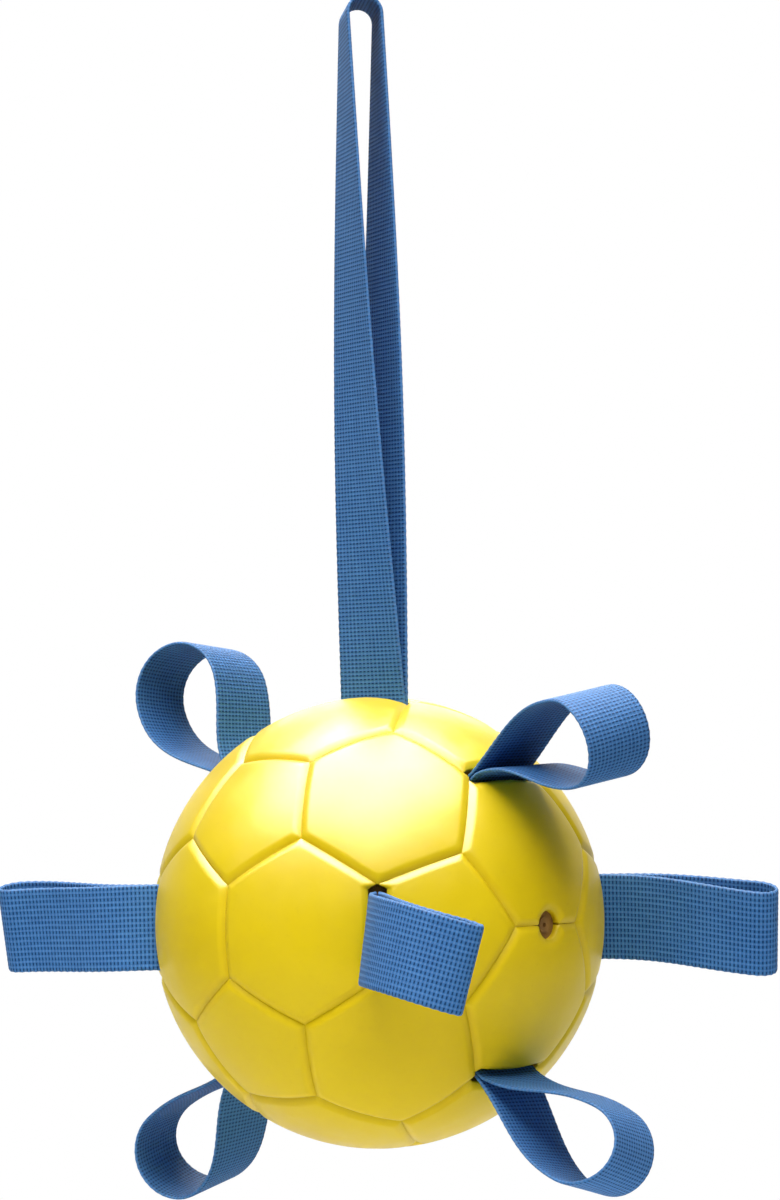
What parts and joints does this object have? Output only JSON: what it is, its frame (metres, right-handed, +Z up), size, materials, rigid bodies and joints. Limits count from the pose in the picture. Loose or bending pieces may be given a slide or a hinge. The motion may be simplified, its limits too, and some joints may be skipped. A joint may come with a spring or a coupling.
{
  "type": "dog ball",
  "caption": "Inflatable panelled dog ball with webbing grab loops sewn into its seams, hanging from a long webbing hand loop, with a recessed valve.",
  "frame": {"origin": "underside of the crown of the hand loop, where a hand or hook holds it", "axes": "+Z up along the hand loop, away from the ball; Y through the hand loop's gap near its crown"},
  "size_m": [0.3294, 0.3383, 0.5377],
  "materials": {
    "cover": "semi-gloss, fine grain",
    "webbing": "woven, matt sheen",
    "bladder": "matt",
    "valve": "matt"
  },
  "bodies": {
    "hand": {"hand_loop": "webbing"},
    "ball": {"hexagon_panel_01": "cover", "hexagon_panel_02": "cover", "hexagon_panel_03": "cover", "hexagon_panel_04": "cover", "hexagon_panel_05": "cover", "hexagon_panel_06": "cover", "hexagon_panel_07": "cover", "hexagon_panel_08": "cover", "hexagon_panel_09": "cover", "hexagon_panel_10": "cover", "hexagon_panel_11": "cover", "hexagon_panel_12": "cover", "hexagon_panel_13": "cover", "hexagon_panel_14": "cover", "hexagon_panel_15": "cover", "hexagon_panel_16": "cover", "hexagon_panel_17": "cover", "hexagon_panel_18": "cover", "hexagon_panel_19": "cover", "hexagon_panel_20": "cover", "pentagon_panel_01": "cover", "pentagon_panel_02": "cover", "pentagon_panel_03": "cover", "pentagon_panel_04": "cover", "pentagon_panel_05": "cover", "pentagon_panel_06": "cover", "pentagon_panel_07": "cover", "pentagon_panel_08": "cover", "pentagon_panel_09": "cover", "pentagon_panel_10": "cover", "pentagon_panel_11": "cover", "pentagon_panel_12": "cover", "bladder": "bladder", "valve_boss": "valve", "valve_plug": "valve"},
    "grab_loop_front_left": {"grab_loop_front_left": "webbing"},
    "grab_loop_front_right": {"grab_loop_front_right": "webbing"},
    "grab_loop_back_left": {"grab_loop_back_left": "webbing"},
    "grab_loop_back_right": {"grab_loop_back_right": "webbing"},
    "grab_loop_front_upper": {"grab_loop_front_upper": "webbing"},
    "grab_loop_front_lower": {"grab_loop_front_lower": "webbing"},
    "grab_loop_back_upper": {"grab_loop_back_upper": "webbing"},
    "grab_loop_back_lower": {"grab_loop_back_lower": "webbing"}
  },
  "joints": [
    {"name": "ball_swing", "type": "hinge", "parent": "hand", "child": "ball", "pos_m": [0, 0, -0.3102], "axis": [-0.5592, 0.829, 0], "range_deg": [-55, 55]},
    {"name": "front_left_swing", "type": "hinge", "parent": "ball", "child": "grab_loop_front_left", "pos_m": [-0.02422, -0.09578, -0.409], "axis": [0, 0, -1], "range_deg": [-60, 36], "stiffness_Nm_per_rad": 0.1},
    {"name": "front_right_swing", "type": "hinge", "parent": "ball", "child": "grab_loop_front_right", "pos_m": [0.09788, -0.01343, -0.409], "axis": [0, 0, -1], "range_deg": [-60, 34], "stiffness_Nm_per_rad": 0.1},
    {"name": "back_left_swing", "type": "hinge", "parent": "ball", "child": "grab_loop_back_left", "pos_m": [-0.09788, 0.01343, -0.409], "axis": [0, 0, -1], "range_deg": [-60, 32], "stiffness_Nm_per_rad": 0.1},
    {"name": "back_right_swing", "type": "hinge", "parent": "ball", "child": "grab_loop_back_right", "pos_m": [0.02422, 0.09578, -0.409], "axis": [0, 0, -1], "range_deg": [-60, 40], "stiffness_Nm_per_rad": 0.1},
    {"name": "front_upper_swing", "type": "hinge", "parent": "ball", "child": "grab_loop_front_upper", "pos_m": [0.04118, -0.06105, -0.34313], "axis": [-0.829, -0.5592, 0], "range_deg": [-36, 56], "stiffness_Nm_per_rad": 0.1},
    {"name": "front_lower_swing", "type": "hinge", "parent": "ball", "child": "grab_loop_front_lower", "pos_m": [0.04118, -0.06105, -0.47487], "axis": [-0.829, -0.5592, 0], "range_deg": [-47, 40], "stiffness_Nm_per_rad": 0.1},
    {"name": "back_upper_swing", "type": "hinge", "parent": "ball", "child": "grab_loop_back_upper", "pos_m": [-0.04118, 0.06105, -0.34313], "axis": [-0.829, -0.5592, 0], "range_deg": [-47, 36], "stiffness_Nm_per_rad": 0.1},
    {"name": "back_lower_swing", "type": "hinge", "parent": "ball", "child": "grab_loop_back_lower", "pos_m": [-0.04118, 0.06105, -0.47487], "axis": [-0.829, -0.5592, 0], "range_deg": [-49, 53], "stiffness_Nm_per_rad": 0.1}
  ]
}
